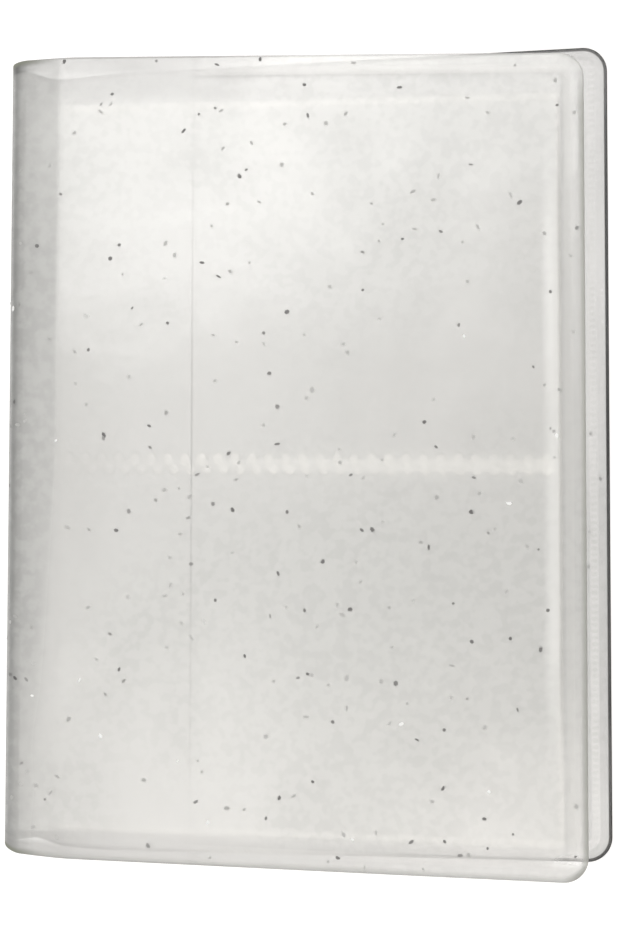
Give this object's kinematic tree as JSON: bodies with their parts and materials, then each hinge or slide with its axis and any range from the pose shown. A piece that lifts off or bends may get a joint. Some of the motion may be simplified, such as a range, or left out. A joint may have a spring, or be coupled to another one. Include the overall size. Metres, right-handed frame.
{
  "type": "pocket photo album",
  "caption": "Closed soft-cover pocket photo album: glitter jacket with inside flaps and a rounded spine, and leaves of landscape print pockets that fan open with the cover.",
  "frame": {"origin": "centre of the closed album's box, on the underside of the back cover", "axes": "+X from the spine to the fore-edge, +Y up the page, +Z from the back cover to the front cover"},
  "size_m": [0.1534, 0.206, 0.0225],
  "materials": {
    "glitter_sheet": "gloss",
    "flap_sheet": "gloss",
    "pocket_film": "gloss",
    "divider": "satin",
    "weld": "satin",
    "binding": "matte"
  },
  "bodies": {
    "back_cover_body": {"back_cover": "glitter_sheet", "back_flap": "flap_sheet", "back_flap_weld": "weld"},
    "spine_body": {"spine_panel": "glitter_sheet", "binding_strip": "binding"},
    "front_cover_body": {"front_cover": "glitter_sheet", "front_flap": "flap_sheet", "front_flap_weld": "weld"},
    "leaf_01": {"leaf_01_front_film": "pocket_film", "leaf_01_divider": "divider", "leaf_01_back_film": "pocket_film", "leaf_01_welds": "weld"},
    "leaf_02": {"leaf_02_front_film": "pocket_film", "leaf_02_divider": "divider", "leaf_02_back_film": "pocket_film", "leaf_02_welds": "weld"},
    "leaf_03": {"leaf_03_front_film": "pocket_film", "leaf_03_divider": "divider", "leaf_03_back_film": "pocket_film", "leaf_03_welds": "weld"},
    "leaf_04": {"leaf_04_front_film": "pocket_film", "leaf_04_divider": "divider", "leaf_04_back_film": "pocket_film", "leaf_04_welds": "weld"},
    "leaf_05": {"leaf_05_front_film": "pocket_film", "leaf_05_divider": "divider", "leaf_05_back_film": "pocket_film", "leaf_05_welds": "weld"},
    "leaf_06": {"leaf_06_front_film": "pocket_film", "leaf_06_divider": "divider", "leaf_06_back_film": "pocket_film", "leaf_06_welds": "weld"},
    "leaf_07": {"leaf_07_front_film": "pocket_film", "leaf_07_divider": "divider", "leaf_07_back_film": "pocket_film", "leaf_07_welds": "weld"},
    "leaf_08": {"leaf_08_front_film": "pocket_film", "leaf_08_divider": "divider", "leaf_08_back_film": "pocket_film", "leaf_08_welds": "weld"},
    "leaf_09": {"leaf_09_front_film": "pocket_film", "leaf_09_divider": "divider", "leaf_09_back_film": "pocket_film", "leaf_09_welds": "weld"},
    "leaf_10": {"leaf_10_front_film": "pocket_film", "leaf_10_divider": "divider", "leaf_10_back_film": "pocket_film", "leaf_10_welds": "weld"}
  },
  "joints": [
    {"name": "cover_open", "type": "hinge", "parent": "spine_body", "child": "front_cover_body", "pos_m": [-0.07572, 0, 0.02051], "axis": [0, -1, 0], "range_deg": [0, 113.99]},
    {"name": "spine_fold", "type": "hinge", "parent": "back_cover_body", "child": "spine_body", "pos_m": [-0.07005, 0, 0.0009], "axis": [0, -1, 0], "range_deg": [0, 70]},
    {"name": "leaf_01_turn", "type": "hinge", "parent": "spine_body", "child": "leaf_01", "pos_m": [-0.07417, 0, 0.01528], "axis": [0, -1, 0], "range_deg": [0, 99.74]},
    {"name": "leaf_02_turn", "type": "hinge", "parent": "spine_body", "child": "leaf_02", "pos_m": [-0.07376, 0, 0.01415], "axis": [0, -1, 0], "range_deg": [0, 81.59]},
    {"name": "leaf_03_turn", "type": "hinge", "parent": "spine_body", "child": "leaf_03", "pos_m": [-0.07334, 0, 0.01303], "axis": [0, -1, 0], "range_deg": [0, 63.44]},
    {"name": "leaf_04_turn", "type": "hinge", "parent": "spine_body", "child": "leaf_04", "pos_m": [-0.07293, 0, 0.0119], "axis": [0, -1, 0], "range_deg": [0, 45.28]},
    {"name": "leaf_05_turn", "type": "hinge", "parent": "spine_body", "child": "leaf_05", "pos_m": [-0.07253, 0, 0.01077], "axis": [0, -1, 0], "range_deg": [0, 27.13]},
    {"name": "leaf_06_turn", "type": "hinge", "parent": "spine_body", "child": "leaf_06", "pos_m": [-0.07211, 0, 0.00964], "axis": [0, -1, 0], "range_deg": [0, 8.98]},
    {"name": "leaf_07_turn", "type": "hinge", "parent": "spine_body", "child": "leaf_07", "pos_m": [-0.0717, 0, 0.00851], "axis": [0, -1, 0], "range_deg": [-9.21, 0]},
    {"name": "leaf_08_turn", "type": "hinge", "parent": "spine_body", "child": "leaf_08", "pos_m": [-0.07129, 0, 0.00739], "axis": [0, -1, 0], "range_deg": [-27.36, 0]},
    {"name": "leaf_09_turn", "type": "hinge", "parent": "spine_body", "child": "leaf_09", "pos_m": [-0.07088, 0, 0.00626], "axis": [0, -1, 0], "range_deg": [-45.51, 0]},
    {"name": "leaf_10_turn", "type": "hinge", "parent": "spine_body", "child": "leaf_10", "pos_m": [-0.07047, 0, 0.00513], "axis": [0, -1, 0], "range_deg": [-63.66, 0]}
  ],
  "couplings": [
    {"joint": "spine_fold", "follows": "cover_open", "ratio": 0.61409},
    {"joint": "leaf_01_turn", "follows": "cover_open", "ratio": 0.87479},
    {"joint": "leaf_02_turn", "follows": "cover_open", "ratio": 0.71556},
    {"joint": "leaf_03_turn", "follows": "cover_open", "ratio": 0.55633},
    {"joint": "leaf_04_turn", "follows": "cover_open", "ratio": 0.39709},
    {"joint": "leaf_05_turn", "follows": "cover_open", "ratio": 0.23786},
    {"joint": "leaf_06_turn", "follows": "cover_open", "ratio": 0.07863},
    {"joint": "leaf_07_turn", "follows": "cover_open", "ratio": -0.080601},
    {"joint": "leaf_08_turn", "follows": "cover_open", "ratio": -0.23983},
    {"joint": "leaf_09_turn", "follows": "cover_open", "ratio": -0.39907},
    {"joint": "leaf_10_turn", "follows": "cover_open", "ratio": -0.5583}
  ]
}
